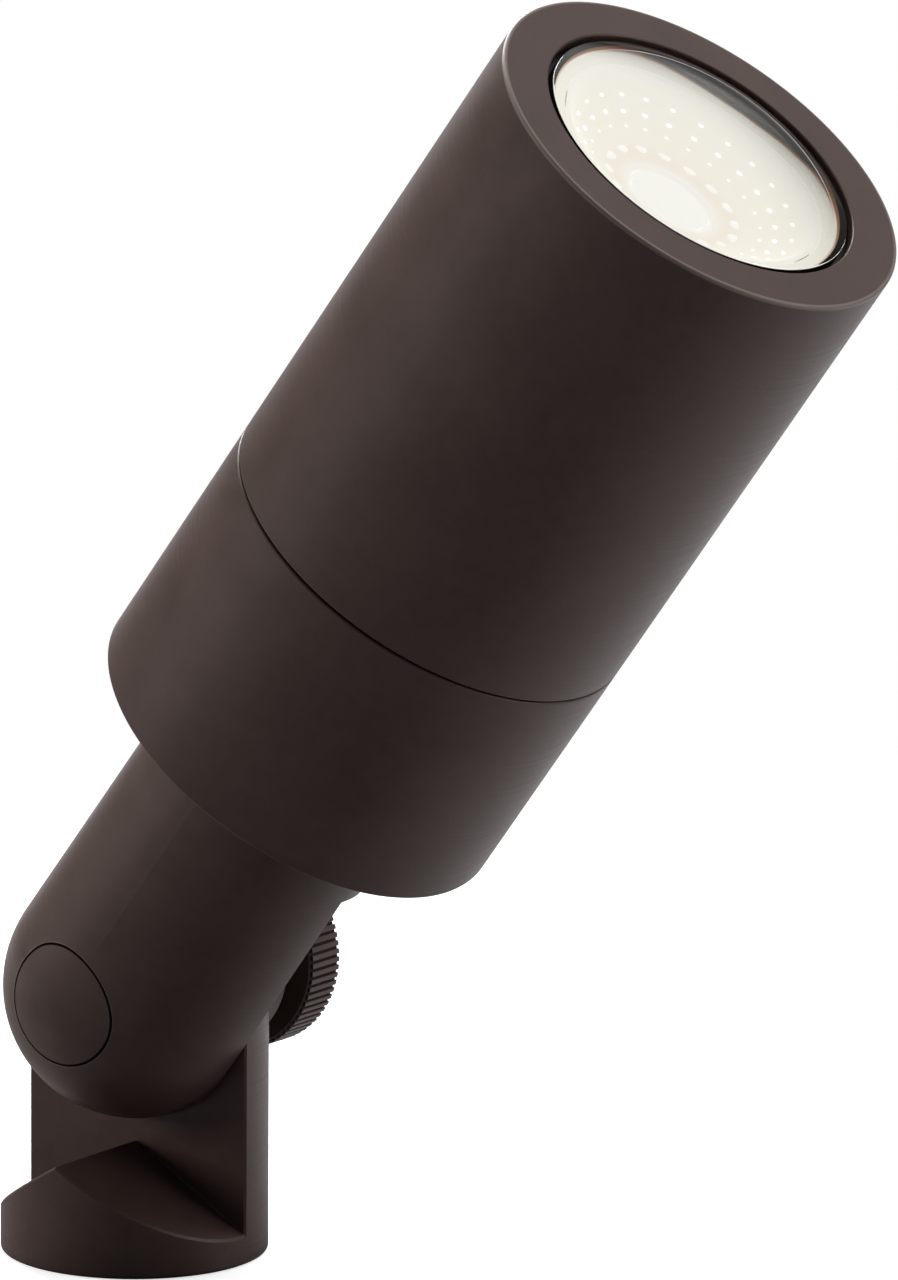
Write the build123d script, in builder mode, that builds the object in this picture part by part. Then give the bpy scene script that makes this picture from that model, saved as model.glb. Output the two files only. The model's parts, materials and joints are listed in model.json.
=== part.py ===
from build123d import *
from math import atan2, cos, radians, sin, tan
import os

# A tilting bullet spotlight: a round head with a domed lens on a clamped knuckle and a short base.
# Millimetres. The origin is the centre of the base's bottom face and +Z is up. The pivot axis runs
# along Y, and the head leans from +Z towards +X. Stations along the head are measured from the pivot.

os.makedirs("parts", exist_ok=True)

# ---------------------------------------------------------------- driving dimensions

# Knuckle
base_radius = 20.45        # base, and the ear that stands on its far half
pivot_height = 41.5        # pivot axis above the base's bottom face
tilt = 36.3                # lean of the head from +Z at rest, degrees
ridge_drop = 24.9          # pivot axis to the ridge of the gable, on the base and on the arm
gable_angle = 30.4         # fall of the gable's two faces, degrees
ear_face = 0.6             # Y of the ear's flat face
face_gap = 0.3             # between the two flat knuckle faces
arm_radius = 20.4          # arm at the pivot, and its ball end
arm_draft = 0.5            # narrowing of the arm towards the head, degrees
head_offset = 0.5          # the head's axis passes this far under the pivot
seat_radius = 13.4         # round boss behind the ear that the knob clamps against
seat_stand = 0.55          # that boss's flat end beyond the base's side
boss_blend = 1.5           # rounding at the boss's root
soft_edge = 0.3            # broken edges of the castings
foot_edge = 0.7            # rounding of the base's bottom edge

# Threaded socket and wireway
socket_radius = 9.6        # minor radius of the half-inch straight pipe thread
socket_depth = 9.0
duct_radius = 3.2          # drilled wire ducts in the ear and in the arm
hub_wall = 2.5             # metal left around the bolt in each wire chamber
chamber_width = 3.5        # the chamber runs round that hub
ear_chamber_depth = 6.4
arm_chamber_depth = 5.3
seal_wall = 2.0            # between the chamber and the knuckle O-ring
seal_wire = 0.85           # radius of the O-ring's section
duct_wall = 0.8            # metal between the O-ring's groove and the duct

# Clamp bolt, cap and knob
bolt_radius = 4.0
bolt_head_flat = 6.5       # centre to flat of the hexagonal head
bolt_head_height = 5.3
bolt_head_seat = 8.0       # pivot's middle to the seat of the bolt head, towards the near side
bolt_end_room = 0.7        # the insert's blind end to the bolt's end
plug_radius = 9.4
plug_gap = 0.25            # dark ring seen around the plug
washer_radius = 9.5
washer_thickness = 1.2
knob_radius = 15.3
knob_thickness = 7.5
knob_hub_radius = 10.0
knob_hub_length = 2.8
knob_edge = 0.6            # chamfer of the knob's two rims
knob_dish = 0.8            # depth of the shallow recess in the knob's outer face
knob_dish_radius = 11.0
rib_count = 75
rib_depth = 0.5
rib_groove = 0.55          # width of the grooves between the ribs
insert_wall = 2.5          # bolt to the flats of the brass insert
insert_cover = 1.5         # knob's outer face to the insert's blind end

# Head shells
head_radius = 33.0
rear_gap = 51.25           # pivot to the rear housing's back face
rear_length = 40.6         # back face to seam
shroud_length = 79.5       # seam to front face
seam_gap = 0.3             # dark line between the two shells
shell_edge = 0.3           # broken edges of the shells
shell_wall = 2.5           # of the shroud
rear_wall = 5.0
neck_length = 12.1         # threaded neck of the rear housing
neck_wall = 2.8
seam_seal_wire = 0.75      # radius of the seam O-ring's section
seam_seal_station = 3.2    # from the seam to the middle of the O-ring
lip_thickness = 1.5        # lip round the hole in the front face

# Arm's spigot through the rear wall
spigot_wall = 4.5          # around its bore
spigot_bore_floor = 3.7    # least metal between the bore's blind end and the gable
nut_wall = 1.5             # lock nut's flats to its thread
nut_height = 5.0
spigot_proud = 0.25        # spigot's end above the lock nut
arm_seal_wire = 0.7
grommet_length = 4.5
grommet_lip = 1.5          # overhang of the flange beyond the bore
grommet_lip_thickness = 1.0

# Lens and what holds it
gasket_thickness = 0.5
gasket_inset = 0.2         # gasket's inner edge behind the lip's
flange_thickness = 1.5
flange_step = 3.0          # shroud's bore to the flange's rim
flange_overlap = 2.0       # flange behind the lip
dome_gap = 0.9             # dark gap around the dome's round wall
dome_drop = 0.75           # front face to the dome's edge
dome_rise = 6.0            # dome's edge to its crown
glass_thickness = 3.2      # at the crown
dome_wall = 2.6            # glass around the hollow back of the lens, at the flange
lens_ring_length = 5.0
lens_ring_overlap = 2.3    # ring behind the flange
lens_ring_slot = 3.0       # width of the spanner slots
lens_ring_slot_depth = 1.5
lens_ring_slot_count = 4

# Lamp
lamp_gap = 0.3             # lens to lamp
lamp_side_gap = 0.6        # lamp's rim to the lens ring around it
bezel_length = 2.5
bezel_width = 4.0          # lamp's rim to the seat of the reflector
bezel_edge = 0.4
reflector_depth = 5.8
reflector_wall = 0.65
board_radius = 10.0
board_thickness = 1.5
led_radius = 6.0
led_gap = 0.6              # light source to the reflector's throat
led_thickness = 0.5
lamp_rim_length = 6.5
lamp_neck_radius = 12.0
lamp_body_length = 31.7
fin_count = 18
fin_slot = 2.4             # width of the slots between the fins
fin_root = 14.5            # radius of the body inside the fins
lamp_base_radius = 10.5
lamp_base_length = 7.0
pin_radius = 0.75
pin_spacing = 5.33
pin_length = 6.3

# Lamp socket and bracket
socket_length = 19.0
socket_width = 10.0
socket_height = 12.0
socket_edge = 0.6
pin_hole_depth = 8.0
bracket_gauge = 1.2
bracket_gap = 2.2          # rear housing's bore to a foot's end
bracket_width = 12.0
bracket_room = 1.8         # lock nut's corners to the legs
bracket_reach = 7.4        # leg's middle to a foot's end
bracket_bend = 2.0         # radius of the bends, at the middle of the sheet
bracket_hole = 3.6         # radius of the hole that the leads pass
foot_screw_place = 2.7     # foot's end to its screw
socket_screw_place = 7.2   # head's axis to a socket screw
screw_radius = 1.5
screw_head_radius = 2.5
screw_head_height = 1.8
screw_drive = 1.25         # centre to flat of the hexagonal recess in a screw head
screw_drive_depth = 1.1
screw_bite = 3.6           # length in the part that a screw holds
screw_hole_room = 0.3      # beyond a screw's end
lead_radius = 0.95
lead_spread = 2.2          # head's axis to each lead
lead_bow = 3.0             # sideways bow of the leads half way
lead_share = 0.45          # share of a straight run that the arc at each of its ends takes up

# Clearances
running_fit = 0.05         # radial, at the pivot bolt and the knob
shell_fit = 0.1            # radial, at the neck and the spigot
seat_fit = 0.05            # between seated pieces

# ---------------------------------------------------------------- places worked out from them

slope = tan(radians(gable_angle))
arm_face = ear_face - face_gap
seat_reach = base_radius + seat_stand
arm_top_radius = arm_radius - rear_gap * tan(radians(arm_draft))
plug_seat = bolt_head_seat + bolt_head_height + seat_fit
hub_radius = bolt_radius + hub_wall
chamber_radius = hub_radius + chamber_width
seal_radius = chamber_radius + seal_wall + seal_wire + seat_fit
duct_depth = 2 * seal_wire + duct_wall + duct_radius
wide = 4 * base_radius     # reach of cutting shapes, clear of every piece that they cut
seam = rear_gap + rear_length
front = seam + shroud_length
rear_floor = rear_gap + rear_wall
shroud_bore = head_radius - shell_wall
neck_radius = shroud_bore - shell_fit
rear_bore = neck_radius - neck_wall
bracket_foot = rear_bore - bracket_gap
bracket_leg = bracket_foot - bracket_reach
foot_screw_radius = bracket_foot - foot_screw_place
nut_corner = bracket_leg - bracket_gauge / 2 - bracket_room
nut_flat = nut_corner * cos(radians(30))
spigot_radius = nut_flat - nut_wall
spigot_bore = spigot_radius - spigot_wall
spigot_bore_start = ridge_drop + slope * spigot_bore + spigot_bore_floor
spigot_end = rear_floor + nut_height + spigot_proud
arm_seal_radius = (spigot_radius + arm_top_radius) / 2
flange_radius = shroud_bore - flange_step
opening_radius = flange_radius - flange_overlap
dome_radius = opening_radius - dome_gap
hollow_radius = dome_radius - dome_wall
dome_edge = front - dome_drop
crown = dome_edge + dome_rise
lens_seat = front - lip_thickness - gasket_thickness
lens_back = lens_seat - flange_thickness
lens_ring_front = lens_back - seat_fit
lens_ring_back = lens_ring_front - lens_ring_length
lens_ring_bore = flange_radius - lens_ring_overlap
lamp_radius = lens_ring_bore - lamp_side_gap
bezel_front = lens_back - lamp_gap
bezel_back = bezel_front - bezel_length
bezel_bore = lamp_radius - bezel_width
reflector_mouth = bezel_bore - seat_fit - reflector_wall
reflector_front = bezel_front - seat_fit
reflector_throat = led_radius + led_gap
board_front = reflector_front - reflector_depth
board_back = board_front - board_thickness
body_back = bezel_back - lamp_body_length
lamp_base_back = body_back - lamp_base_length
socket_front = lamp_base_back - seat_fit
socket_back = socket_front - socket_height
lead_end = spigot_end - grommet_length
lead_run = (socket_back - lead_end) / 4
lead_turn = atan2(lead_bow, lead_run)
washer_end = seat_reach + washer_thickness
knob_near = washer_end + knob_hub_length
knob_far = knob_near + knob_thickness
insert_flat = bolt_radius + insert_wall
insert_end = knob_far - insert_cover
bolt_end = insert_end - bolt_end_room

pivot = Vector(0, 0, pivot_height)
head_dir = Vector(sin(radians(tilt)), 0, cos(radians(tilt)))
under_dir = Vector(cos(radians(tilt)), 0, -sin(radians(tilt)))
head_origin = pivot + under_dir * head_offset
head_axis = Axis(head_origin, head_dir)
pivot_axis = Axis(pivot, (0, 1, 0))

# Section through the head: sketch x is the radius on the underside, sketch y the station along the
# head, and the plane faces -Y.
head_section = Plane(origin=head_origin, x_dir=under_dir, z_dir=(0, -1, 0))
# Side section of the head: sketch x is the radius towards the near side, -Y.
near_section = Plane(origin=head_origin, x_dir=(0, -1, 0), z_dir=-under_dir)
# Across the head: sketch x as in the head section, sketch y is Y. It is offset by a station.
head_cross = Plane(origin=head_origin, x_dir=under_dir, z_dir=head_dir)


def ring_section(inner, outer, start, stop, mode=Mode.ADD):
    """Rectangle between two radii and two stations, which makes a ring when it is turned."""
    with Locations(((inner + outer) / 2, (start + stop) / 2)):
        Rectangle(outer - inner, stop - start, mode=mode)


def both_sides(distance):
    """The two places at a distance from the sketch's middle, along its x direction."""
    return Locations((-distance, 0), (distance, 0))


def across_pivot(y):
    """Plane square to the pivot axis at a given Y: sketch x is X, sketch y is Z, facing -Y."""
    return Plane(origin=(0, y, pivot_height), x_dir=(1, 0, 0), z_dir=(0, -1, 0))


def gable_cut(drop, side):
    """Corners of what is cut away beyond a gable whose ridge is at drop, towards side (1 or -1)."""
    foot = -side * (drop + slope * wide)
    far = side * wide
    return [(0, -side * drop), (wide, foot), (wide, far), (-wide, far), (-wide, foot)]


def screw_pair(seat, radius, heads):
    """Two screws through the bracket: heads is 1 or -1, the way their heads point along the head."""
    with BuildSketch(head_cross.offset(seat)) as screw_heads:
        with both_sides(radius):
            Circle(screw_head_radius)
    extrude(screw_heads.sketch, amount=heads * screw_head_height)
    with BuildSketch(head_cross.offset(seat)) as shanks:
        with both_sides(radius):
            Circle(screw_radius)
    extrude(shanks.sketch, amount=-heads * (bracket_gauge + screw_bite))
    with BuildSketch(head_cross.offset(seat + heads * screw_head_height)) as recesses:
        with both_sides(radius):
            RegularPolygon(screw_drive, 6, major_radius=False)
    extrude(recesses.sketch, amount=-heads * screw_drive_depth, mode=Mode.SUBTRACT)


def screw_holes(seat, radius, depth):
    """The two holes for a pair of the bracket's screws, cut from seat by depth along the head."""
    with BuildSketch(head_cross.offset(seat)) as holes:
        with both_sides(radius):
            Circle(screw_radius + running_fit)
    extrude(holes.sketch, amount=depth, mode=Mode.SUBTRACT)


def outline(faces):
    """Edges that belong to just one of the faces."""
    edges = faces.edges()
    return ShapeList(e for e in edges if sum(e.is_same(other) for other in edges) == 1)


def finish(piece, name):
    """Label a finished piece and write it to its own file."""
    piece.part.label = name
    export_step(piece.part, f"parts/{name}.step")


# ---------------------------------------------------------------- base and knuckle

with BuildPart() as base_casting:
    # Round bar up to the pivot, with a ball end
    with BuildSketch(Plane.YZ):
        with BuildLine():
            Polyline((0, pivot_height + base_radius), (0, 0), (base_radius, 0), (base_radius, pivot_height))
            CenterArc((0, pivot_height), base_radius, 0, 90)
        make_face()
    revolve(axis=Axis.Z)
    # The near half is cut away down to a gable, which leaves the ear
    with BuildSketch(across_pivot(ear_face)):
        Polygon(*gable_cut(ridge_drop, 1), align=None)
    extrude(amount=wide, mode=Mode.SUBTRACT)
    flats = base_casting.faces().filter_by(GeomType.PLANE)
    cut_faces = flats.filter_by(lambda f: f.center().Z > foot_edge)
    chamfer(outline(cut_faces), length=soft_edge)
    fillet(base_casting.edges().group_by(Axis.Z)[0], radius=foot_edge)
    # Boss behind the ear
    with BuildSketch(across_pivot(seat_reach)):
        Circle(seat_radius)
    extrude(amount=seat_reach - base_radius / 2)
    curves = base_casting.edges().filter_by(GeomType.LINE, reverse=True)
    roots = curves.filter_by(lambda e: base_radius / 2 < e.center().Y < seat_reach - soft_edge)
    fillet(roots, radius=boss_blend)
    # Wire chamber around the bolt's hub, the O-ring's groove around it, and the bolt hole
    with BuildSketch(across_pivot(ear_face)):
        Circle(chamber_radius)
        Circle(hub_radius, mode=Mode.SUBTRACT)
    extrude(amount=-ear_chamber_depth, mode=Mode.SUBTRACT)
    with BuildSketch(across_pivot(ear_face)):
        Circle(seal_radius + seal_wire + seat_fit)
        Circle(seal_radius - seal_wire - seat_fit, mode=Mode.SUBTRACT)
    extrude(amount=-2 * seal_wire, mode=Mode.SUBTRACT)
    with BuildSketch(across_pivot(ear_face)):
        Circle(bolt_radius + running_fit)
    extrude(amount=-seat_reach, mode=Mode.SUBTRACT)
    # Threaded socket, and the duct from it to the chamber
    with BuildSketch():
        Circle(socket_radius)
    extrude(amount=socket_depth, mode=Mode.SUBTRACT)
    with BuildSketch(Plane.XY.offset(socket_depth)):
        with Locations((0, ear_face + duct_depth)):
            Circle(duct_radius)
    extrude(amount=pivot_height - hub_radius - socket_depth, mode=Mode.SUBTRACT)
finish(base_casting, "base_casting")

with BuildPart() as knuckle_oring:
    with BuildSketch(Plane(origin=pivot, x_dir=(1, 0, 0), z_dir=(0, 0, -1))):
        with Locations((seal_radius, -ear_face - seal_wire)):
            Circle(seal_wire)
    revolve(axis=pivot_axis)
finish(knuckle_oring, "knuckle_oring")

with BuildPart() as knuckle_arm:
    # Ball end, drafted bar, and the spigot that passes the rear wall
    with BuildSketch(near_section):
        with BuildLine():
            CenterArc((0, 0), arm_radius, -90, 90)
            Polyline(
                (arm_radius, 0),
                (arm_top_radius, rear_gap),
                (spigot_radius, rear_gap),
                (spigot_radius, spigot_end),
                (0, spigot_end),
                (0, -arm_radius),
            )
        make_face()
    revolve(axis=head_axis)
    # The far half is cut away up to a gable, which leaves room for the ear
    with BuildSketch(head_section.offset(-arm_face)):
        Polygon(*gable_cut(ridge_drop, -1), align=None)
    extrude(amount=-wide, mode=Mode.SUBTRACT)
    flats = knuckle_arm.faces().filter_by(GeomType.PLANE)
    cut_faces = flats.filter_by(lambda f: f.center().Y > arm_face / 2)
    chamfer(outline(cut_faces), length=soft_edge)
    # Pocket of the plug, hexagonal pocket of the bolt head, and the bolt hole
    with BuildSketch(across_pivot(-plug_seat)):
        Circle(plug_radius + plug_gap)
    extrude(amount=wide, mode=Mode.SUBTRACT)
    with BuildSketch(across_pivot(-bolt_head_seat)):
        RegularPolygon(bolt_head_flat + seat_fit, 6, major_radius=False)
    extrude(amount=plug_seat - bolt_head_seat, mode=Mode.SUBTRACT)
    with BuildSketch(across_pivot(-bolt_head_seat)):
        Circle(bolt_radius + running_fit)
    extrude(amount=-bolt_head_seat - arm_face, mode=Mode.SUBTRACT)
    # Wire chamber, the duct up the near half, and the wide bore behind it
    with BuildSketch(across_pivot(arm_face)):
        Circle(chamber_radius)
        Circle(hub_radius, mode=Mode.SUBTRACT)
    extrude(amount=arm_chamber_depth, mode=Mode.SUBTRACT)
    with BuildSketch(head_cross.offset(hub_radius + chamber_width / 2)):
        with Locations((0, arm_face - duct_depth)):
            Circle(duct_radius)
    extrude(amount=spigot_bore_start - hub_radius - chamber_width / 2, mode=Mode.SUBTRACT)
    with BuildSketch(head_cross.offset(spigot_bore_start)):
        Circle(spigot_bore)
    extrude(amount=spigot_end - spigot_bore_start, mode=Mode.SUBTRACT)
    # Groove of the O-ring under the rear housing
    with BuildSketch(head_cross.offset(rear_gap)):
        Circle(arm_seal_radius + arm_seal_wire + seat_fit)
        Circle(arm_seal_radius - arm_seal_wire - seat_fit, mode=Mode.SUBTRACT)
    extrude(amount=-2 * arm_seal_wire - seat_fit, mode=Mode.SUBTRACT)
finish(knuckle_arm, "knuckle_arm")

with BuildPart() as pivot_plug:
    # Round cap whose outer end is flush with the ball
    with BuildSketch(near_section):
        with BuildLine():
            CenterArc((0, 0), arm_radius, -90, 90)
            Polyline((arm_radius, 0), (arm_top_radius, rear_gap), (0, rear_gap), (0, -arm_radius))
        make_face()
    revolve(axis=head_axis)
    with BuildSketch(across_pivot(-plug_seat)):
        Circle(plug_radius)
    extrude(amount=wide, mode=Mode.INTERSECT)
finish(pivot_plug, "pivot_plug")

with BuildPart() as pivot_bolt:
    with BuildSketch(across_pivot(-bolt_head_seat)):
        RegularPolygon(bolt_head_flat, 6, major_radius=False)
    extrude(amount=bolt_head_height)
    with BuildSketch(across_pivot(-bolt_head_seat)):
        Circle(bolt_radius)
    extrude(amount=-bolt_head_seat - bolt_end)
    chamfer(pivot_bolt.edges().group_by(Axis.Y)[-1], length=soft_edge)
finish(pivot_bolt, "pivot_bolt")

with BuildPart() as clamp_washer:
    with BuildSketch(across_pivot(washer_end)):
        Circle(washer_radius)
        Circle(bolt_radius + running_fit, mode=Mode.SUBTRACT)
    extrude(amount=washer_thickness)
finish(clamp_washer, "clamp_washer")

with BuildPart() as thumb_knob:
    # Hub and ribbed rim
    with BuildSketch(across_pivot(knob_near)):
        Circle(knob_hub_radius)
    extrude(amount=knob_hub_length)
    with BuildSketch(across_pivot(knob_far)):
        Circle(knob_radius)
    extrude(amount=knob_thickness)
    rims = thumb_knob.edges().filter_by(GeomType.CIRCLE).group_by(SortBy.RADIUS)[-1]
    chamfer(rims, length=knob_edge)
    with BuildSketch(across_pivot(knob_far)):
        with PolarLocations(knob_radius, rib_count):
            Rectangle(2 * rib_depth, rib_groove)
    extrude(amount=knob_thickness, mode=Mode.SUBTRACT)
    # Shallow dish outside, and the pocket of the brass insert inside
    with BuildSketch(across_pivot(knob_far)):
        Circle(knob_dish_radius)
    extrude(amount=knob_dish, mode=Mode.SUBTRACT)
    with BuildSketch(across_pivot(insert_end)):
        RegularPolygon(insert_flat, 6, major_radius=False)
    extrude(amount=insert_end - washer_end, mode=Mode.SUBTRACT)
finish(thumb_knob, "thumb_knob")

with BuildPart() as knob_insert:
    with BuildSketch(across_pivot(insert_end)):
        RegularPolygon(insert_flat, 6, major_radius=False)
    extrude(amount=insert_end - washer_end - seat_fit)
    with BuildSketch(across_pivot(washer_end)):
        Circle(bolt_radius + running_fit)
    extrude(amount=washer_end - bolt_end - seat_fit, mode=Mode.SUBTRACT)
finish(knob_insert, "knob_insert")

# ---------------------------------------------------------------- arm's joint with the rear housing

with BuildPart() as arm_oring:
    with BuildSketch(head_section):
        with Locations((arm_seal_radius, rear_gap - arm_seal_wire - seat_fit)):
            Circle(arm_seal_wire)
    revolve(axis=head_axis)
finish(arm_oring, "arm_oring")

with BuildPart() as arm_lock_nut:
    with BuildSketch(head_cross.offset(rear_floor)):
        RegularPolygon(nut_flat, 6, major_radius=False)
        Circle(spigot_radius + running_fit, mode=Mode.SUBTRACT)
    extrude(amount=nut_height)
finish(arm_lock_nut, "arm_lock_nut")

with BuildPart() as wire_grommet:
    with BuildSketch(head_section):
        ring_section(0, spigot_bore - seat_fit, lead_end, spigot_end)
        ring_section(0, spigot_bore + grommet_lip, spigot_end, spigot_end + grommet_lip_thickness)
    revolve(axis=head_axis)
    with BuildSketch(head_cross.offset(lead_end)):
        with both_sides(lead_spread):
            Circle(lead_radius + seat_fit)
    extrude(amount=2 * grommet_length, mode=Mode.SUBTRACT)
finish(wire_grommet, "wire_grommet")

# ---------------------------------------------------------------- head shells

with BuildPart() as rear_housing:
    with BuildSketch(head_section):
        ring_section(spigot_radius + shell_fit, head_radius, rear_gap, seam)
        ring_section(rear_bore, neck_radius, seam, seam + neck_length)
        ring_section(spigot_radius, rear_bore, rear_floor, seam, mode=Mode.SUBTRACT)
    revolve(axis=head_axis)
    rims = rear_housing.edges().filter_by(GeomType.CIRCLE).group_by(SortBy.RADIUS)[-1]
    chamfer(rims, length=shell_edge)
    chamfer(rear_housing.edges().group_by(head_axis)[-1], length=shell_edge)
    # Groove of the seam O-ring, and the holes of the bracket's screws
    with BuildSketch(head_section):
        with Locations((neck_radius, seam + seam_seal_station)):
            Rectangle(4 * seam_seal_wire + 2 * seat_fit, 2 * seam_seal_wire + 2 * seat_fit)
    revolve(axis=head_axis, mode=Mode.SUBTRACT)
    screw_holes(rear_floor, foot_screw_radius, -screw_bite - screw_hole_room)
finish(rear_housing, "rear_housing")

with BuildPart() as seam_oring:
    with BuildSketch(head_section):
        with Locations((neck_radius - seam_seal_wire, seam + seam_seal_station)):
            Circle(seam_seal_wire)
    revolve(axis=head_axis)
finish(seam_oring, "seam_oring")

with BuildPart() as shroud:
    # Tube, seat of the lens flange, and the lip in front of it
    with BuildSketch(head_section):
        ring_section(shroud_bore, head_radius, seam + seam_gap, lens_back)
        ring_section(flange_radius + shell_fit, head_radius, lens_back, front - lip_thickness)
        ring_section(opening_radius, head_radius, front - lip_thickness, front)
    revolve(axis=head_axis)
    chamfer(shroud.edges().group_by(head_axis)[0], length=shell_edge)
    chamfer(shroud.edges().group_by(head_axis)[-1], length=shell_edge)
finish(shroud, "shroud")

# ---------------------------------------------------------------- lens and what holds it

with BuildPart() as lens_gasket:
    with BuildSketch(head_section):
        ring_section(opening_radius + gasket_inset, flange_radius, lens_seat, front - lip_thickness)
    revolve(axis=head_axis)
finish(lens_gasket, "lens_gasket")

with BuildPart() as lens:
    with BuildSketch(head_section):
        with BuildLine():
            TangentArc((0, crown), (dome_radius, dome_edge), tangent=(1, 0))
            Polyline(
                (dome_radius, dome_edge),
                (dome_radius, lens_seat),
                (flange_radius, lens_seat),
                (flange_radius, lens_back),
                (hollow_radius, lens_back),
            )
            TangentArc((0, crown - glass_thickness), (hollow_radius, lens_back), tangent=(1, 0))
            Line((0, crown - glass_thickness), (0, crown))
        make_face()
    revolve(axis=head_axis)
finish(lens, "lens")

with BuildPart() as lens_ring:
    with BuildSketch(head_section):
        ring_section(lens_ring_bore, shroud_bore - seat_fit, lens_ring_back, lens_ring_front)
    revolve(axis=head_axis)
    with BuildSketch(head_cross.offset(lens_ring_back)):
        with PolarLocations(shroud_bore, lens_ring_slot_count):
            Rectangle(shroud_bore, lens_ring_slot)
    extrude(amount=lens_ring_slot_depth, mode=Mode.SUBTRACT)
finish(lens_ring, "lens_ring")

# ---------------------------------------------------------------- lamp

with BuildPart() as lamp_bezel:
    with BuildSketch(head_section):
        ring_section(bezel_bore, lamp_radius, bezel_back, bezel_front)
    revolve(axis=head_axis)
    chamfer(lamp_bezel.edges().group_by(head_axis)[-1].sort_by(SortBy.RADIUS)[-1], length=bezel_edge)
finish(lamp_bezel, "lamp_bezel")

with BuildPart() as lamp_reflector:
    # Bowl with a mouth of even wall, on the board
    outer_mouth = (reflector_mouth + reflector_wall, reflector_front)
    with BuildSketch(head_section):
        with BuildLine():
            TangentArc(
                (reflector_throat, board_front + reflector_wall),
                (reflector_mouth, reflector_front),
                tangent=(1, 0),
            )
            Line((reflector_mouth, reflector_front), outer_mouth)
            TangentArc((reflector_throat, board_front), outer_mouth, tangent=(1, 0))
            Line((reflector_throat, board_front), (reflector_throat, board_front + reflector_wall))
        make_face()
    revolve(axis=head_axis)
finish(lamp_reflector, "lamp_reflector")

with BuildPart() as led_board:
    with BuildSketch(head_cross.offset(board_back)):
        Circle(board_radius)
    extrude(amount=board_thickness)
finish(led_board, "led_board")

with BuildPart() as led_chip:
    with BuildSketch(head_cross.offset(board_front)):
        Circle(led_radius)
    extrude(amount=led_thickness)
finish(led_chip, "led_chip")

with BuildPart() as lamp_body:
    # Cup for the board and the reflector, and a tapering body behind it
    with BuildSketch(head_section):
        with BuildLine():
            Polyline(
                (lamp_neck_radius, body_back),
                (0, body_back),
                (0, board_back),
                (bezel_bore, board_back),
                (bezel_bore, bezel_back),
                (lamp_radius, bezel_back),
                (lamp_radius, bezel_back - lamp_rim_length),
            )
            TangentArc(
                (lamp_radius, bezel_back - lamp_rim_length),
                (lamp_neck_radius, body_back),
                tangent=(0, -1),
            )
        make_face()
    revolve(axis=head_axis)
    # Slots that leave the cooling fins
    with BuildSketch(head_cross.offset(bezel_back - lamp_rim_length)):
        with PolarLocations(fin_root + lamp_radius / 2, fin_count):
            Rectangle(lamp_radius, fin_slot)
    extrude(amount=-lamp_body_length, mode=Mode.SUBTRACT)
finish(lamp_body, "lamp_body")

with BuildPart() as lamp_base:
    with BuildSketch(head_cross.offset(lamp_base_back)):
        Circle(lamp_base_radius)
    extrude(amount=lamp_base_length)
finish(lamp_base, "lamp_base")

with BuildPart() as lamp_pins:
    with BuildSketch(head_cross.offset(lamp_base_back)):
        with both_sides(pin_spacing / 2):
            Circle(pin_radius)
    extrude(amount=-pin_length)
finish(lamp_pins, "lamp_pins")

# ---------------------------------------------------------------- lamp socket and its bracket

with BuildPart() as lamp_socket:
    with BuildSketch(head_cross.offset(socket_back)):
        Rectangle(socket_length, socket_width)
    extrude(amount=socket_height)
    chamfer(lamp_socket.edges().filter_by(head_axis), length=socket_edge)
    with BuildSketch(head_cross.offset(socket_front)):
        with both_sides(pin_spacing / 2):
            Circle(pin_radius + running_fit)
    extrude(amount=-pin_hole_depth, mode=Mode.SUBTRACT)
    screw_holes(socket_back, socket_screw_place, screw_bite + screw_hole_room)
finish(lamp_socket, "lamp_socket")

with BuildPart() as socket_bracket:
    # Bent strip: two feet on the rear wall, two legs past the lock nut, and a bridge for the socket
    foot_level = rear_floor + bracket_gauge / 2
    bridge_level = socket_back - bracket_gauge / 2
    with BuildSketch(head_section):
        with BuildLine():
            FilletPolyline(
                (-bracket_foot, foot_level),
                (-bracket_leg, foot_level),
                (-bracket_leg, bridge_level),
                (bracket_leg, bridge_level),
                (bracket_leg, foot_level),
                (bracket_foot, foot_level),
                radius=bracket_bend,
            )
        trace(line_width=bracket_gauge)
    extrude(amount=bracket_width / 2, both=True)
    screw_holes(rear_floor, foot_screw_radius, bracket_gauge)
    screw_holes(socket_back - bracket_gauge, socket_screw_place, bracket_gauge)
    with BuildSketch(head_cross.offset(socket_back)):
        Circle(bracket_hole)
    extrude(amount=-bracket_gauge, mode=Mode.SUBTRACT)
finish(socket_bracket, "socket_bracket")

with BuildPart() as bracket_screws:
    screw_pair(rear_floor + bracket_gauge, foot_screw_radius, 1)
finish(bracket_screws, "bracket_screws")

with BuildPart() as socket_screws:
    screw_pair(socket_back - bracket_gauge, socket_screw_place, -1)
finish(socket_screws, "socket_screws")

with BuildPart() as socket_leads:
    for side in (-lead_spread, lead_spread):
        # Down from the socket, one gentle bow towards the near side, and into the grommet
        lead_plane = Plane(origin=head_origin + under_dir * side, x_dir=(0, -1, 0), z_dir=-under_dir)
        with BuildLine(lead_plane) as lead_route:
            FilletPolyline(
                (0, socket_back),
                (0, socket_back - lead_run),
                (lead_bow, socket_back - 2 * lead_run),
                (0, lead_end + lead_run),
                (0, lead_end),
                radius=[
                    lead_share * lead_run / tan(lead_turn / 2),
                    lead_share * lead_run / tan(lead_turn),
                    lead_share * lead_run / tan(lead_turn / 2),
                ],
            )
        with BuildSketch(Plane(origin=lead_route.line @ 0, z_dir=lead_route.line % 0)):
            Circle(lead_radius)
        sweep(path=lead_route.line)
finish(socket_leads, "socket_leads")
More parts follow.
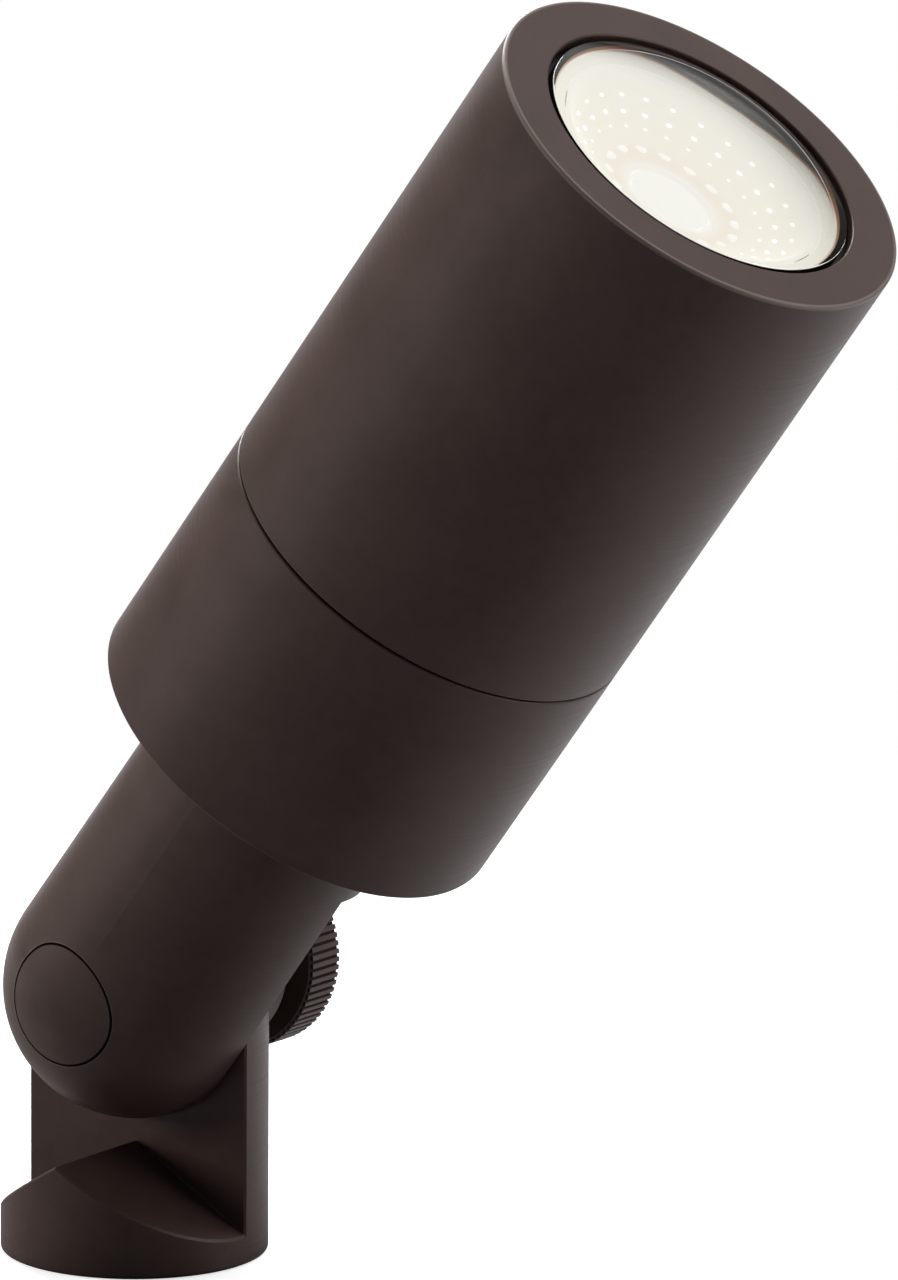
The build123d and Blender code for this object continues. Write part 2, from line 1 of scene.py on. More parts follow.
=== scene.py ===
# %% [markdown]
# # A tilting bullet spotlight
# A dark bronze garden spotlight: a round head with a domed lens, a clamped knuckle, a ribbed thumb knob
# and a short base that screws onto a stake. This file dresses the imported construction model. Lengths are
# in metres, +Z is up, the pivot bolt runs along Y and the head leans towards +X.

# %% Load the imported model
import json
from math import acos, asin, cos, degrees, hypot, pi, radians, sin, sqrt, tan

import bmesh
import bpy
from mathutils import Matrix, Vector


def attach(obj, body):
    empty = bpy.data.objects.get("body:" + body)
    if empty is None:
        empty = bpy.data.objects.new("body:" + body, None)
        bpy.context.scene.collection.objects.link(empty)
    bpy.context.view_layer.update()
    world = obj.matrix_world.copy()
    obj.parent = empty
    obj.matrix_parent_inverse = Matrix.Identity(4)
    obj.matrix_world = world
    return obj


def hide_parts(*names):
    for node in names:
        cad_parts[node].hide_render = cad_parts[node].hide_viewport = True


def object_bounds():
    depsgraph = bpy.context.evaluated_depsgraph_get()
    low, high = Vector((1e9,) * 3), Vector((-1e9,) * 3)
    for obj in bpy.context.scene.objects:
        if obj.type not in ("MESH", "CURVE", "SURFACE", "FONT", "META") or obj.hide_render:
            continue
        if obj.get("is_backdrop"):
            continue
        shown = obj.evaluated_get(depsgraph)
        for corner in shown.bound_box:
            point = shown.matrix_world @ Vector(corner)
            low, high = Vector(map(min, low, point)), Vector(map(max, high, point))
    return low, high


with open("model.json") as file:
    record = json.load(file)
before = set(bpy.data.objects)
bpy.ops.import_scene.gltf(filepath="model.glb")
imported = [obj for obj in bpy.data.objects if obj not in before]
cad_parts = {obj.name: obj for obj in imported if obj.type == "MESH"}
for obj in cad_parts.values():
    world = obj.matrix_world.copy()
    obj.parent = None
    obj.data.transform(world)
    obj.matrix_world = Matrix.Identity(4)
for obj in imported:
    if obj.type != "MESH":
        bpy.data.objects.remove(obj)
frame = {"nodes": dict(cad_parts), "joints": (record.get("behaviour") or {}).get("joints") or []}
cad_low, cad_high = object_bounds()
nodes = frame["nodes"]
mm = 0.001
print("pieces of the construction:", len(nodes))
print("size in mm:", [round(side / mm, 1) for side in cad_high - cad_low])

# %% [markdown]
# The head turns about the pivot, and every round piece of it shares one axis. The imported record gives
# both joints, so the pivot and the head's axis come from there and nothing has to be measured again.

# %% The pivot and the head's axis
joints = {joint["name"]: joint for joint in frame["joints"]}
pivot = Vector(joints["head_tilt"]["pos_m"])
head_base = Vector(joints["shroud_turn"]["pos_m"])
head_axis = Vector(joints["shroud_turn"]["axis"]).normalized()
side_axis = Vector((0, 1, 0))
upright = Vector((0, 0, 1))
origin = Vector((0, 0, 0))
under_axis = side_axis.cross(head_axis)
print("the head leans", round(degrees(acos(head_axis.z)), 1), "degrees from upright")

# %% [markdown]
# A turned piece is told by its steps: where each cylinder starts and how wide it is. These helpers read
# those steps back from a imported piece, as a caliper would, so a new mesh fits the construction exactly.

# %% Calipers for the round pieces
def stations(node, axis=head_axis, start=head_base):
    """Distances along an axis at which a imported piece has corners, lowest first."""
    found = {round((vertex.co - start).dot(axis) / mm, 2) for vertex in nodes[node].data.vertices}
    return sorted(station * mm for station in found)


def from_axis(point, axis, start):
    """How far a point lies from an axis."""
    arm = point - start
    return (arm - axis * arm.dot(axis)).length


def radii(node, axis=head_axis, start=head_base):
    """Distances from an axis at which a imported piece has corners, smallest first."""
    corners = nodes[node].data.vertices
    found = {round(from_axis(corner.co, axis, start) / mm, 2) for corner in corners}
    return sorted(radius * mm for radius in found)


seam_gap_end, *_, head_front = stations("shroud")
head_radius = radii("shroud")[-1]
print("seam and front face in mm:", round(seam_gap_end / mm, 2), round(head_front / mm, 2))
print("radius of the head in mm:", round(head_radius / mm, 2))

# %% [markdown]
# ## The studio
# A product is best judged on a pale floor with broad soft lamps. The floor is white to the camera far
# away and keeps the soft shadow close to the base, so the light seems to stand in a bright empty room.
#
# Finishes are node trees, and a tree built in a script soon fills with lines that make a node, set its
# numbers and draw its links. These helpers take that up: one call makes a node, sets its settings and
# fills its inputs, and an input is given either a number or the output that drives it.

# %% Helpers for node trees
def new_material(name):
    """An empty material, and the tree for its nodes."""
    material = bpy.data.materials.new(name)
    material.use_nodes = True
    material.node_tree.nodes.clear()
    return material, material.node_tree


def fill(node, entries):
    """Give inputs, by name or number, a constant or what drives them: an output, or a node's first."""
    for entry, value in entries.items():
        socket = node.inputs[entry.replace("_", " ") if isinstance(entry, str) else entry]
        if isinstance(value, bpy.types.Node):
            value = value.outputs[0]
        if isinstance(value, bpy.types.NodeSocket):
            node.id_data.links.new(value, socket)
        else:
            socket.default_value = value


def add_node(tree, kind, *inputs, **named):
    """A new node. Its inputs come in order, or by a capital name; a small name is a setting."""
    node = tree.nodes.new(kind)
    for name, value in named.items():
        if name[0].islower():
            setattr(node, name, value)
    fill(node, dict(enumerate(inputs)))
    fill(node, {name: value for name, value in named.items() if not name[0].islower()})
    return node


# %% Small sums in a node tree
def arithmetic(tree, operation, *terms):
    """The result of one Math node."""
    return add_node(tree, "ShaderNodeMath", *terms, operation=operation).outputs[0]


def vector_value(tree, operation, *terms):
    """The number that one Vector Math node gives."""
    return add_node(tree, "ShaderNodeVectorMath", *terms, operation=operation).outputs["Value"]


def map_value(tree, value, low, high, to_low, to_high, easing="LINEAR"):
    """A value moved from one range to another, clamped."""
    ranges = (value, low, high, to_low, to_high)
    return add_node(tree, "ShaderNodeMapRange", *ranges, interpolation_type=easing).outputs["Result"]


# %% [markdown]
# The camera stands low, a little to one side, and far away with a long lens, so the sides of the head
# stay nearly parallel. Its three directions are worked out from two angles and a small roll, because a
# camera that is only aimed at a point would stand exactly upright.

# %% The camera
azimuth = radians(34.81)
elevation = radians(11.63)
roll = radians(0.38)
camera_distance = 1.834
view_back = Vector((sin(azimuth) * cos(elevation), -cos(azimuth) * cos(elevation), sin(elevation)))
level_right = Vector((cos(azimuth), sin(azimuth), 0))
level_up = view_back.cross(level_right)
view_right = cos(roll) * level_right + sin(roll) * level_up
view_up = view_back.cross(view_right)
# The aim lies a little in front of the middle of the whole light
aim = Vector((0.02826, 0.04248, 0.09107))
camera_data = bpy.data.cameras.new("camera")
camera_data.lens = 337.5
camera_data.sensor_width = 36
camera_data.clip_start = 0.05
camera_data.clip_end = 20
camera = bpy.data.objects.new("camera", camera_data)
camera.matrix_world = Matrix.Translation(aim + view_back * camera_distance) @ Matrix(
    (view_right, view_up, view_back)
).transposed().to_4x4()
bpy.context.scene.collection.objects.link(camera)
bpy.context.scene.camera = camera
bpy.context.scene.view_settings.view_transform = "Standard"
print("camera", round(camera_distance, 3), "m away")

# %% [markdown]
# The floor has two faces. The camera sees plain white far out, and near the light a matte white that
# keeps the soft shadow. Light that comes back up from the floor meets a dimmer one, so the undersides
# stay dark bronze. Is Camera Ray chooses between the two, which needs no second floor.

# %% The floor
white = (1, 1, 1, 1)
behind_the_light = (0.34, 0.94, 0)


def object_place(tree):
    """Object coordinates, which stay with a piece when it moves."""
    return add_node(tree, "ShaderNodeTexCoord").outputs["Object"]


def camera_ray(tree):
    """1 for what the camera sees straight away, 0 for light and reflections."""
    return add_node(tree, "ShaderNodeLightPath").outputs["Is Camera Ray"]


def surfaced(material, shader):
    """Close a material with its surface shader."""
    add_node(material.node_tree, "ShaderNodeOutputMaterial", shader)
    return material


def floor_material():
    """White for the camera far out; near the light a matte white that keeps the shadow."""
    material, tree = new_material("studio_floor")
    place = object_place(tree)
    distance = vector_value(tree, "LENGTH", place)
    behind = vector_value(tree, "DOT_PRODUCT", place, behind_the_light)
    # What the light itself gets back: a dim floor in front, and a paler one behind and far out
    paler_behind = map_value(tree, behind, -0.05, 0.16, 0.20, 0.46, "SMOOTHSTEP")
    paler_far = map_value(tree, distance, 0.3, 0.8, 0.0, 0.6, "SMOOTHSTEP")
    bounce = add_node(tree, "ShaderNodeBsdfDiffuse", arithmetic(tree, "MAXIMUM", paler_behind, paler_far))
    # What the camera gets: lifted matte white near the light, and plain white far out
    matte = add_node(tree, "ShaderNodeBsdfDiffuse", (0.82, 0.82, 0.82, 1))
    lift = add_node(tree, "ShaderNodeEmission", white, 0.62)
    near = add_node(tree, "ShaderNodeAddShader", matte, lift)
    far = add_node(tree, "ShaderNodeEmission", white, 1.0)
    outwards = map_value(tree, distance, 0.10, 0.40, 0, 1, "SMOOTHSTEP")
    seen = add_node(tree, "ShaderNodeMixShader", outwards, near, far)
    return surfaced(material, add_node(tree, "ShaderNodeMixShader", camera_ray(tree), bounce, seen))


floor_reach = 4.0
floor_corners = [(x, y, 0) for x, y in ((-1, -1), (1, -1), (1, 1), (-1, 1))]
floor_mesh = bpy.data.meshes.new("floor")
floor_mesh.from_pydata([Vector(corner) * floor_reach for corner in floor_corners], [], [(0, 1, 2, 3)])
floor_mesh.materials.append(floor_material())
floor = bpy.data.objects.new("floor", floor_mesh)
bpy.context.scene.collection.objects.link(floor)
floor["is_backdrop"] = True
print("floor", 2 * floor_reach, "m wide")

# %% [markdown]
# A dark satin coat shows little of its own colour and much of what stands round it. So the world is no
# even grey: it is dim in front, brighter overhead, and has a bright sweep low behind the light. A picture
# of a room could do this too, but a few sums on the direction are enough.

# %% The world
def studio_world():
    """White for the camera; for the light itself a room that is dim in front and brighter behind."""
    world = bpy.data.worlds.new("studio")
    world.use_nodes = True
    tree = world.node_tree
    tree.nodes.clear()
    direction = add_node(tree, "ShaderNodeTexCoord").outputs["Generated"]
    height = add_node(tree, "ShaderNodeSeparateXYZ", direction).outputs["Z"]
    level_view = Vector((view_back.x, view_back.y, 0)).normalized()
    towards_viewer = vector_value(tree, "DOT_PRODUCT", direction, level_view)
    # A room that is dim in front and near the floor, and a bright sweep low behind the light
    room = map_value(tree, towards_viewer, -0.6, 0.7, 0.85, 0.07)
    overhead = map_value(tree, height, 0.32, 0.56, 0.10, 1.0)
    backdrop = map_value(tree, towards_viewer, -0.99, -0.84, 0.7, 0.0)
    low_down = map_value(tree, height, 0.0, 0.14, 1.0, 0.0)
    upper_room = arithmetic(tree, "MULTIPLY", room, overhead)
    sweep = arithmetic(tree, "MULTIPLY", backdrop, low_down)
    surround = add_node(tree, "ShaderNodeBackground", Strength=arithmetic(tree, "ADD", upper_room, sweep))
    seen = add_node(tree, "ShaderNodeBackground", white, 1.0)
    choice = add_node(tree, "ShaderNodeMixShader", camera_ray(tree), surround, seen)
    add_node(tree, "ShaderNodeOutputWorld", choice)
    return world


bpy.context.scene.world = studio_world()
print("world:", bpy.context.scene.world.name)

# %% [markdown]
# Wide lamps give soft shade. Four of them stand round the light, all aimed at its middle. Two aren't
# mirrored in the coat and the glass, so they lift the shade and leave no streak.

# %% The lamps
def softbox(name, around, up, distance, width, height, power, mirrored=True):
    """A soft lamp aimed at the middle of the light: around and up in degrees, 0 around is the -Y side."""
    turn, rise = radians(around), radians(up)
    away = Vector((sin(turn) * cos(rise), -cos(turn) * cos(rise), sin(rise)))
    data = bpy.data.lights.new(name, "AREA")
    data.shape = "RECTANGLE"
    data.size = width
    data.size_y = height
    data.energy = power
    lamp = bpy.data.objects.new(name, data)
    lamp.rotation_mode = "QUATERNION"
    lamp.rotation_quaternion = away.to_track_quat("Z", "Y")
    lamp.location = (cad_low + cad_high) / 2 + away * distance
    lamp.visible_glossy = mirrored
    lamp.visible_transmission = mirrored
    bpy.context.scene.collection.objects.link(lamp)
    print(name, power, "W,", distance, "m away")


softbox("left_softbox", -129, 32, 1.2, 0.6, 0.7, 13)
softbox("right_softbox", 116, 8, 1.3, 0.6, 1.3, 6.5)
softbox("front_softbox", -68, 8, 1.2, 1.0, 0.36, 13, mirrored=False)
softbox("top_softbox", 180, 60, 1.2, 1.4, 1.0, 14, mirrored=False)

# %% [markdown]
# ## Effects that several finishes share
# The coat, the turned metal and the cast metal all need the same few effects: soft blotches, the fine
# lines that a lathe leaves, a fine grain, and edges rubbed brighter, which is partly wear and partly a
# painted highlight. Each is a shader node group, built once and placed in every finish with its own
# values, so one change reaches all of them.

# %% Making a shader node group
def effect(name, inputs, outputs):
    """A shader node group: its tree, the outputs of its start and its end node.

    An input is a number with its usual value, or a place in space where the value is None.
    """
    tree = bpy.data.node_groups.new(name, "ShaderNodeTree")
    for label, value in inputs.items():
        kind = "NodeSocketVector" if value is None else "NodeSocketFloat"
        socket = tree.interface.new_socket(name=label, in_out="INPUT", socket_type=kind)
        if value is None:
            socket.hide_value = True
        else:
            socket.default_value = value
    for label in outputs:
        tree.interface.new_socket(name=label, in_out="OUTPUT", socket_type="NodeSocketFloat")
    return tree, add_node(tree, "NodeGroupInput").outputs, add_node(tree, "NodeGroupOutput")


def place_effect(tree, group, **values):
    """The result of a group placed in a material with its own values."""
    return add_node(tree, "ShaderNodeGroup", node_tree=group, **values).outputs[0]


# %% [markdown]
# Blotches are what a brushed-on patina or a thin powder coat shows: broad clouds a centimetre or two
# wide, broken by a finer cloud. Two noises are added. They read Object coordinates, which stay with the
# piece when it moves and keep one scale on every piece.

# %% Blotches
def blotch_effect():
    """Broad and fine clouds, as one value about 0.5."""
    tree, given, result = effect("coat_blotches", {"Broad": 70.0, "Fine": 420.0, "Share": 0.35}, ["Tone"])
    place = object_place(tree)
    broad = add_node(
        tree, "ShaderNodeTexNoise", Vector=place, Scale=given["Broad"], Detail=3.0, Roughness=0.55,
        Distortion=0.6,
    )
    fine = add_node(
        tree, "ShaderNodeTexNoise", Vector=place, Scale=given["Fine"], Detail=2.0, Roughness=0.6
    )
    blend = add_node(tree, "ShaderNodeMix", data_type="FLOAT")
    fill(blend, {0: given["Share"], 2: broad, 3: fine})
    fill(result, {"Tone": blend})
    return tree


blotches = blotch_effect()
print(blotches.name, "made")

# %% [markdown]
# A lathe leaves rings: on a cylinder they run round it, and on a face they are circles about its middle.
# The distance from the axis plus the distance along it changes from ring to ring on both, so a noise
# of that one number draws every ring. The group takes the axis from a Mapping node in the material.

# %% Turned lines
def ring_place(tree, place):
    """The distance from the lathe's axis and along it, from lathe coordinates."""
    parts = add_node(tree, "ShaderNodeSeparateXYZ", place).outputs
    flat = add_node(tree, "ShaderNodeCombineXYZ", parts["X"], parts["Y"])
    return vector_value(tree, "LENGTH", flat), parts["Z"]


def turned_effect():
    """Fine rings about the axis that a Mapping node has laid along Z."""
    tree, given, result = effect("turned_lines", {"Density": 1500.0, "Place": None}, ["Lines"])
    ring = arithmetic(tree, "ADD", *ring_place(tree, given["Place"]))
    lines = add_node(
        tree, "ShaderNodeTexNoise", noise_dimensions="1D", W=ring, Scale=given["Density"], Detail=3.0,
        Roughness=0.7,
    )
    fill(result, {"Lines": lines})
    return tree


turned_lines = turned_effect()


def lathe_place(tree, axis, start):
    """Object coordinates with an axis laid along Z and its start point at the origin."""
    across = axis.orthogonal().normalized()
    turn = Matrix((across, axis.cross(across), axis))
    laid = (object_place(tree), -(turn @ start), turn.to_euler())
    return add_node(tree, "ShaderNodeMapping", *laid, vector_type="POINT").outputs[0]


# %% [markdown]
# Corners lose their coat first, and the paler edges here are partly that wear and partly a painted
# highlight. The Bevel node gives the normal of a softly rounded edge, and where it differs from the true
# normal there is an edge. Noise breaks that mask, because wear is never even.

# %% Rubbed edges: wear and painted highlight
def edge_effect():
    """A mask that is 1 on rubbed edges, which are partly wear and partly painted highlight, and 0
    elsewhere.
    """
    tree, given, result = effect("edge_wear_and_highlight", {"Width": 0.0004, "Start": 0.02, "Full": 0.3}, ["Wear"])
    softened = add_node(tree, "ShaderNodeBevel", Radius=given["Width"], samples=4)
    true_normal = add_node(tree, "ShaderNodeNewGeometry").outputs["Normal"]
    bend = arithmetic(tree, "SUBTRACT", 1.0, vector_value(tree, "DOT_PRODUCT", softened, true_normal))
    patches = add_node(
        tree, "ShaderNodeTexNoise", Vector=object_place(tree), Scale=260.0, Detail=3.0, Roughness=0.65
    )
    broken = arithmetic(tree, "MULTIPLY", bend, patches)
    fill(result, {"Wear": map_value(tree, broken, given["Start"], given["Full"], 0, 1, "SMOOTHSTEP")})
    return tree


edge_wear_and_highlight = edge_effect()
print("shared effects:", [group.name for group in (blotches, turned_lines, edge_wear_and_highlight)])

# %% [markdown]
# ## The bronze coat
# Every outer casting has the same dark bronze coat: a satin, almost black brown. A flat colour would
# look like plastic. Here the blotches shift the colour and the gloss, turned rings shift the gloss, a
# fine grain lifts the surface by microns, and the rims are rubbed to a paler bronze, which is partly wear
# and partly a painted highlight. The head's front rim has a painted highlight, and the joint round the
# pivot plug a thin line of painted shade.

# %% The coat's colours and measures
coat_dark = (0.050, 0.030, 0.026, 1)
coat_light = (0.072, 0.045, 0.039, 1)
coat_wear_and_highlight = (0.30, 0.25, 0.22, 1)
coat_gap_shade = (0.001, 0.0008, 0.0008, 1)
micron = 0.001 * mm
gap_shade_width = 0.2 * mm
# The painted highlight on a rim fades in between these two distances before the piece's corner
rim_highlight_fade = 0.7 * mm
rim_highlight_full = 0.4 * mm
plug_radius = radii("pivot_plug", side_axis, pivot)[-1]
print("plug radius in mm:", round(plug_radius / mm, 2))


# %% Mixing, spreading and grain
def mix_colour(tree, factor, first, second):
    """A colour between two, by a factor."""
    mix = add_node(tree, "ShaderNodeMix", data_type="RGBA")
    fill(mix, {0: factor, 6: first, 7: second})
    return mix.outputs[2]


def spread(tree, noise, low, high):
    """A noise, which rarely leaves 0.3 to 0.7, spread over a range."""
    return map_value(tree, noise, 0.3, 0.7, low, high)


def surface_grain(tree, scale, depth):
    """A Normal with a fine grain: scale in lumps per metre, depth in microns."""
    grain = add_node(
        tree, "ShaderNodeTexNoise", Vector=object_place(tree), Scale=scale, Detail=2.0, Roughness=0.6
    )
    bump = add_node(tree, "ShaderNodeBump", Strength=1.0, Distance=depth * micron, Height=grain)
    return bump.outputs["Normal"]


# %% The painted shade line where two pieces meet
def gap_shade_line(tree, axis, start, radius):
    """1 on a thin ring about an axis, where two pieces meet: painted shade of the gap between them."""
    away = arithmetic(tree, "SUBTRACT", ring_place(tree, lathe_place(tree, axis, start))[0], radius)
    return map_value(tree, arithmetic(tree, "ABSOLUTE", away), 0.6 * gap_shade_width, gap_shade_width, 1, 0)


# %% The coat's material
def principled(material, **inputs):
    """Close a material with a Principled surface."""
    return surfaced(material, add_node(material.node_tree, "ShaderNodeBsdfPrincipled", **inputs))


def bronze_coat(name, axis, start, wear_and_highlight_share, joint=None, highlight_rim=None):
    """The coat on a turned piece: the share 0 to 1 of rim wear and painted highlight, the radius of a
    joint's painted shade line, the reach of a rim's painted highlight.
    """
    material, tree = new_material(name)
    place = lathe_place(tree, axis, start)
    tone = place_effect(tree, blotches)
    rings = place_effect(tree, turned_lines, Place=place)
    wear_and_highlight = place_effect(tree, edge_wear_and_highlight)
    # The head's front rim gets a painted highlight, a paler band along its outer corner
    if highlight_rim:
        reach = arithmetic(tree, "ADD", *ring_place(tree, place))
        rim_highlight = map_value(tree, reach, highlight_rim - rim_highlight_fade, highlight_rim - rim_highlight_full, 0, 1)
        wear_and_highlight = arithmetic(tree, "MAXIMUM", wear_and_highlight, rim_highlight)
    shade = mix_colour(tree, spread(tree, tone, 0, 1), coat_dark, coat_light)
    # Paler edges: partly wear and partly a painted highlight
    colour = mix_colour(tree, arithmetic(tree, "MULTIPLY", wear_and_highlight, wear_and_highlight_share), shade, coat_wear_and_highlight)
    gloss = arithmetic(tree, "ADD", spread(tree, tone, 0.36, 0.44), spread(tree, rings, -0.03, 0.03))
    # A thin black ring at the plug's joint: painted shade of the gap
    if joint:
        gap_shade_mask = gap_shade_line(tree, side_axis, pivot, joint)
        colour = mix_colour(tree, gap_shade_mask, colour, coat_gap_shade)
        gloss = arithmetic(tree, "MAXIMUM", gloss, gap_shade_mask)
    return principled(
        material, Base_Color=colour, Metallic=0.0, Roughness=gloss, Specular_IOR_Level=0.42,
        Specular_Tint=(1.0, 0.88, 0.85, 1), Normal=surface_grain(tree, 1800, 12),
    )


head_coat = bronze_coat("bronze_coat_head", head_axis, head_base, 0.5, highlight_rim=head_radius + head_front)
knuckle_coat = bronze_coat("bronze_coat_knuckle", head_axis, head_base, 0.45, joint=plug_radius)
plug_coat = bronze_coat("bronze_coat_plug", side_axis, pivot, 0.2, joint=plug_radius)
base_coat = bronze_coat("bronze_coat_base", upright, origin, 0.9)
knob_coat = bronze_coat("bronze_coat_knob", side_axis, pivot, 0.3)


def dress(node, material):
    """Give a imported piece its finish."""
    slots = nodes[node].data.materials
    slots.clear()
    slots.append(material)


dress("base_casting", base_coat)
dress("knuckle_arm", knuckle_coat)
dress("pivot_plug", plug_coat)
print("coats:", [coat.name for coat in (head_coat, knuckle_coat, plug_coat, base_coat, knob_coat)])

# %% [markdown]
# ## Metals, rubber, plastic and ceramic inside
# Most of these only show when the head is tilted, the knob is loosened or the shroud is unscrewed, but
# each still has its own finish: turned brass, zinc-plated steel, ground nickel, cast aluminium, moulded
# rubber and plastic, glazed ceramic and a braided sleeve on the two leads.

# %% A finish with two tones, rings and grain
def plain_finish(name, dark, light, gloss, metallic, grain, depth, axis=head_axis, start=head_base):
    """Two tones of one colour, a roughness range, and turned rings in the roughness of a metal."""
    material, tree = new_material(name)
    tone = place_effect(tree, blotches, Broad=180.0, Fine=900.0)
    share = tone
    if metallic > 0.5:
        share = place_effect(tree, turned_lines, Place=lathe_place(tree, axis, start))
    colour = mix_colour(tree, spread(tree, tone, 0, 1), (*dark, 1), (*light, 1))
    return principled(
        material, Base_Color=colour, Metallic=metallic, Roughness=spread(tree, share, *gloss),
        Normal=surface_grain(tree, grain, depth),
    )


# %% The finishes inside
# Each: its pieces, dark tone, light tone, roughness range, metallic, lumps a metre, microns deep; and an
# axis with its start where that isn't the head's
inner_finishes = {
    "turned_brass": (
        "knob_insert arm_lock_nut", (0.50, 0.34, 0.13), (0.66, 0.48, 0.22), (0.2, 0.36), 1.0, 2500, 6,
    ),
    "zinc_plated_steel": (
        "pivot_bolt clamp_washer socket_bracket bracket_screws socket_screws",
        (0.42, 0.43, 0.45), (0.62, 0.62, 0.60), (0.26, 0.42), 1.0, 2200, 6, side_axis, pivot,
    ),
    "nickel_pins": ("lamp_pins", (0.66, 0.64, 0.58), (0.80, 0.78, 0.73), (0.12, 0.24), 1.0, 4000, 2),
    "black_anodised": (
        "lens_ring", (0.012, 0.011, 0.011), (0.022, 0.020, 0.020), (0.3, 0.45), 0.4, 2500, 6,
    ),
    "cast_aluminium": ("lamp_body", (0.46, 0.46, 0.47), (0.62, 0.62, 0.62), (0.38, 0.55), 1.0, 1600, 20),
    "seal_rubber": (
        "knuckle_oring arm_oring seam_oring wire_grommet",
        (0.012, 0.012, 0.012), (0.022, 0.021, 0.020), (0.55, 0.75), 0.0, 3000, 10,
    ),
    "gasket_rubber": (
        "lens_gasket", (0.035, 0.022, 0.012), (0.07, 0.045, 0.022), (0.6, 0.8), 0.0, 2600, 30,
    ),
    "lamp_plastic": ("lamp_base", (0.62, 0.60, 0.55), (0.72, 0.70, 0.65), (0.35, 0.5), 0.0, 2400, 10),
    "socket_ceramic": ("lamp_socket", (0.70, 0.67, 0.60), (0.82, 0.80, 0.74), (0.4, 0.65), 0.0, 1400, 20),
}
for finish_name, (pieces, *values) in inner_finishes.items():
    finish = plain_finish(finish_name, *values)
    for node in pieces.split():
        dress(node, finish)
    print(finish_name, "on", pieces)

# %% [markdown]
# The two leads from the lamp socket wear a braided glass sleeve. Its weave is two sets of slanting
# lines: sines of the place across the head and along it, added and taken away. At this size that reads
# as a braid, and it needs no picture.

# %% The braided sleeve
strand_density = 9000


def braided_sleeve():
    """White glass braid, as fine slanting lines that cross."""
    material, tree = new_material("braided_sleeve")
    parts = add_node(tree, "ShaderNodeSeparateXYZ", lathe_place(tree, head_axis, head_base)).outputs
    lines = []
    for operation in ("ADD", "SUBTRACT"):
        slant = arithmetic(tree, operation, parts["X"], parts["Z"])
        lines.append(arithmetic(tree, "SINE", arithmetic(tree, "MULTIPLY", slant, strand_density)))
    weave = arithmetic(tree, "MAXIMUM", *lines)
    raised = map_value(tree, weave, -1, 1, 0, 1)
    colour = mix_colour(tree, raised, (0.45, 0.44, 0.40, 1), (0.80, 0.79, 0.75, 1))
    bump = add_node(tree, "ShaderNodeBump", Strength=0.6, Distance=0.1 * mm, Height=weave)
    return principled(material, Base_Color=colour, Roughness=0.7, Normal=bump)


sleeve = braided_sleeve()
dress("socket_leads", sleeve)
print(sleeve.name, "on socket_leads")

# %% [markdown]
# ## Turned pieces
# The shroud, the rear housing, the lens and the lamp's parts are all turned, so each is a profile spun
# about one axis. A sharp profile looks cut from paper: real edges are broken, and that is what catches
# the light. So each corner of a profile has its own rounding, an arc of a few short steps, and a point
# close before and after it keeps the flat runs flat when the mesh is shaded smooth.

# %% Rounding a profile
arc_steps = 5
run_support = 0.12 * mm


def rounded(corners):
    """A closed profile from corners (radius, station, rounding): arcs where the rounding isn't 0."""
    profile = []
    for before, corner, after in zip(corners[-1:] + corners[:-1], corners, corners[1:] + corners[:1]):
        here = Vector(corner[:2])
        rounding = corner[2]
        if rounding == 0:
            profile.append(tuple(here))
            continue
        back = (Vector(before[:2]) - here).normalized()
        onward = (Vector(after[:2]) - here).normalized()
        half = back.angle(onward) / 2
        reach = rounding / tan(half)
        middle = here + (back + onward).normalized() * rounding / sin(half)
        first, last = here + back * reach, here + onward * reach
        profile.append(tuple(first + back * run_support))
        for step in range(arc_steps + 1):
            spoke = (first - middle).lerp(last - middle, step / arc_steps)
            profile.append(tuple(middle + spoke.normalized() * rounding))
        profile.append(tuple(last + onward * run_support))
    return profile


def crown_arc(edge_radius, edge, top, steps):
    """Points of a shallow dome from its edge up to its top, on the circle through both."""
    rise = top - edge
    ball = (edge_radius ** 2 + rise ** 2) / (2 * rise)
    opening = asin(edge_radius / ball)
    angles = [opening * (1 - step / steps) for step in range(steps + 1)]
    return [(ball * sin(angle), top - ball * (1 - cos(angle))) for angle in angles]


# %% Spinning a profile
spin_steps = 192


def spun(name, profile, steps=spin_steps):
    """A mesh turned about Z from a closed profile of (radius, station) points."""
    shape = bmesh.new()
    rings = []
    for radius, station in profile:
        count = 1 if radius < 1e-6 else steps
        angles = [2 * pi * step / count for step in range(count)]
        rings.append([shape.verts.new((radius * cos(a), radius * sin(a), station)) for a in angles])
    for low, high in zip(rings, rings[1:] + rings[:1]):
        for step in range(max(len(low), len(high))):
            turns = ((low, step), (low, step + 1), (high, step + 1), (high, step))
            loop = list(dict.fromkeys(ring[turn % len(ring)] for ring, turn in turns))
            if len(loop) > 2:
                shape.faces.new(loop)
    bmesh.ops.recalc_face_normals(shape, faces=shape.faces)
    for face in shape.faces:
        face.smooth = True
    mesh = bpy.data.meshes.new(name)
    shape.to_mesh(mesh)
    shape.free()
    return mesh


def frame_of(axis, across, start):
    """The turn and move that lay a mesh spun about Z on an axis of the light."""
    turn = Matrix((across, axis.cross(across), axis)).transposed().to_4x4()
    return Matrix.Translation(start) @ turn


head_frame = frame_of(head_axis, under_axis, head_base)
knob_frame = frame_of(side_axis, upright, pivot)


def stand_in(name, mesh, place, material, body, node):
    """Lay a spun mesh in its place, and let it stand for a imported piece."""
    mesh.transform(place)
    if not mesh.materials:
        mesh.materials.append(material)
    piece = bpy.data.objects.new(name, mesh)
    bpy.context.scene.collection.objects.link(piece)
    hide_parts(node)
    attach(piece, body)
    print(name, len(mesh.polygons), "faces")
